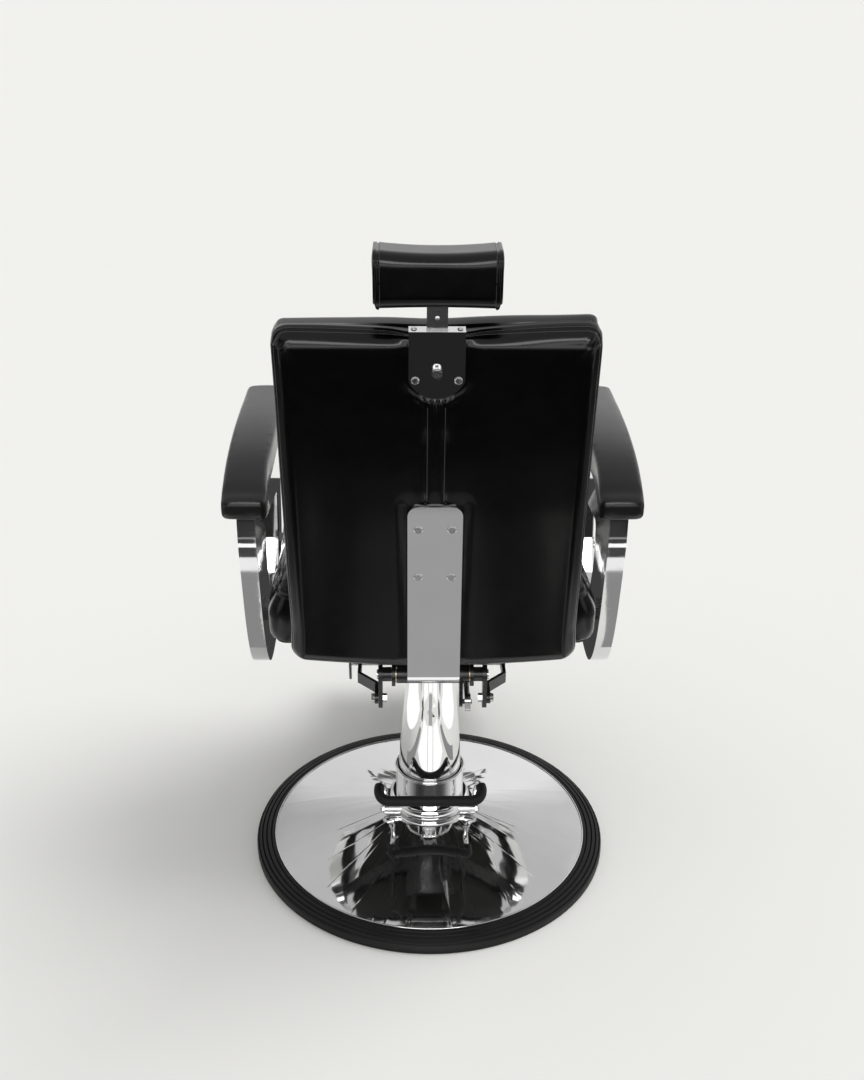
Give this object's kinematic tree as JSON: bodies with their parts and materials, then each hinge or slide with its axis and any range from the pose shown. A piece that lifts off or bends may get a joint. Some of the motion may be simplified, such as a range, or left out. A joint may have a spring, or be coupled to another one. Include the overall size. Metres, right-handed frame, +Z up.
{
  "type": "barber chair",
  "caption": "Reclining hydraulic barber chair with a swivel lift column, round base, foot pedal, padded arms, sliding headrest and linked footrest.",
  "frame": {"origin": "centre of the base on the floor, on the column's axis", "axes": "+Z up the column, -Y the way the sitter faces, +X the sitter's left"},
  "size_m": [0.694, 0.86, 1.203],
  "materials": {
    "base_chrome": "polished chrome plate on a spun steel dome",
    "column_chrome": "polished chrome plate",
    "bracket_chrome": "polished chrome plate on flat steel",
    "arm_chrome": "mirror polished casting",
    "base_rubber": "matte black moulded rubber",
    "pedal_rubber": "matte black rubber",
    "cast_iron": "black painted casting",
    "zinc_fasteners": "bright plated",
    "ground_steel": "ground bright",
    "pump_steel": "drawn tube",
    "pedal_steel": "chromed rod",
    "frame_paint": "gloss black enamel",
    "bar_steel": "dark oiled steel",
    "bush_brass": "sintered bronze",
    "plywood": "raw birch plywood",
    "vinyl": "glossy black vinyl-coated fabric over foam",
    "arm_vinyl": "semi-gloss black self-skinned foam",
    "foot_plate_metal": "satin"
  },
  "bodies": {
    "base": {"base_disc": "base_chrome", "base_ring": "base_rubber", "base_weight": "cast_iron", "base_bolts": "zinc_fasteners", "pump_body": "cast_iron", "pump_cylinder": "pump_steel", "pump_gland": "column_chrome", "pump_collar": "column_chrome", "lower_sleeve": "column_chrome", "plunger_spring": "ground_steel"},
    "pedal": {"pedal_yoke": "pedal_steel", "pedal_rubber": "pedal_rubber", "pump_cam_shaft": "ground_steel", "pedal_nuts": "zinc_fasteners"},
    "plunger": {"pump_plunger": "ground_steel"},
    "ram": {"piston_ram": "ground_steel"},
    "seat": {"column_shroud": "column_chrome", "top_plate": "frame_paint", "seat_rail_left": "frame_paint", "seat_rail_right": "frame_paint", "seat_bolts": "zinc_fasteners", "rear_crossmember": "frame_paint", "front_crossmember": "frame_paint", "seat_board": "plywood", "seat_cushion": "vinyl", "arm_frame_left": "arm_chrome", "arm_frame_right": "arm_chrome", "arm_pad_left": "arm_vinyl", "arm_pad_right": "arm_vinyl", "pivot_bushes": "bush_brass", "gas_cylinder": "frame_paint", "control_brackets": "frame_paint"},
    "handle": {"recline_handle": "ground_steel", "handle_grip": "pedal_rubber"},
    "gas_rod": {"gas_rod": "ground_steel"},
    "backrest": {"back_pivot_shaft": "ground_steel", "back_pivot_tube": "frame_paint", "back_lever_left": "frame_paint", "back_lever_right": "frame_paint", "link_bolts": "zinc_fasteners", "back_bracket": "bracket_chrome", "back_screws": "zinc_fasteners", "back_board": "plywood", "back_cushion": "vinyl", "headrest_bracket": "bracket_chrome", "headrest_guide": "frame_paint"},
    "index": {"index_plunger": "ground_steel"},
    "headrest": {"headrest_bar": "bar_steel", "headrest_pad": "vinyl"},
    "link_left": {"footrest_link_left": "frame_paint"},
    "link_right": {"footrest_link_right": "frame_paint"},
    "footrest": {"footrest_bar_left": "bar_steel", "footrest_bar_right": "bar_steel", "footrest_shaft": "ground_steel", "leg_straps": "frame_paint", "leg_board": "plywood", "leg_pad": "vinyl", "foot_plate": "foot_plate_metal", "foot_tread": "pedal_rubber"}
  },
  "joints": [
    {"name": "pedal_hinge", "type": "hinge", "parent": "base", "child": "pedal", "pos_m": [0, 0.042, 0.092], "axis": [-1, 0, 0], "range_deg": [0, 30], "stiffness_Nm_per_rad": 6, "springref_deg": -20.05},
    {"name": "plunger_slide", "type": "slide", "parent": "base", "child": "plunger", "axis": [0, 0, -1], "range_m": [0, 0.0027], "deforming": ["plunger_spring"]},
    {"name": "lift_slide", "type": "slide", "parent": "base", "child": "ram", "axis": [0, 0, 1], "range_m": [-0.045, 0.09]},
    {"name": "seat_swivel", "type": "hinge", "parent": "ram", "child": "seat", "pos_m": [0, 0, 0.43], "axis": [0, 0, 1], "continuous": true},
    {"name": "handle_hinge", "type": "hinge", "parent": "seat", "child": "handle", "pos_m": [-0.15, -0.15, 0.4595], "axis": [-1, 0, 0], "range_deg": [0, 15], "stiffness_Nm_per_rad": 1.5, "springref_deg": -17.19},
    {"name": "recline_hinge", "type": "hinge", "parent": "seat", "child": "backrest", "pos_m": [0, 0.18, 0.47], "axis": [-1, 0, 0], "range_deg": [0, 45]},
    {"name": "gas_rod_slide", "type": "slide", "parent": "seat", "child": "gas_rod", "axis": [0, -1, 0], "range_m": [0, 0.0353]},
    {"name": "link_hinge_left", "type": "hinge", "parent": "backrest", "child": "link_left", "pos_m": [0.094, 0.18, 0.424], "axis": [-1, 0, 0], "range_deg": [-45, 0]},
    {"name": "link_hinge_right", "type": "hinge", "parent": "backrest", "child": "link_right", "pos_m": [-0.094, 0.18, 0.424], "axis": [-1, 0, 0], "range_deg": [-45, 0]},
    {"name": "footrest_hinge", "type": "hinge", "parent": "seat", "child": "footrest", "pos_m": [0, -0.318, 0.455], "axis": [-1, 0, 0], "range_deg": [0, 45]},
    {"name": "index_pull", "type": "slide", "parent": "backrest", "child": "index", "axis": [0, 0.9981, -0.061], "range_m": [0, 0.008], "stiffness_N_per_m": 900, "springref_m": -0.004},
    {"name": "headrest_slide", "type": "slide", "parent": "backrest", "child": "headrest", "axis": [0, 0.061, 0.9981], "range_m": [-0.025, 0.1]}
  ],
  "couplings": [
    {"joint": "plunger_slide", "follows": "pedal_hinge", "m_per_rad": 0.005},
    {"joint": "gas_rod_slide", "follows": "recline_hinge", "m_per_rad": 0.04482},
    {"joint": "link_hinge_left", "follows": "recline_hinge", "ratio": -1},
    {"joint": "link_hinge_right", "follows": "recline_hinge", "ratio": -1},
    {"joint": "footrest_hinge", "follows": "recline_hinge", "ratio": 1}
  ]
}
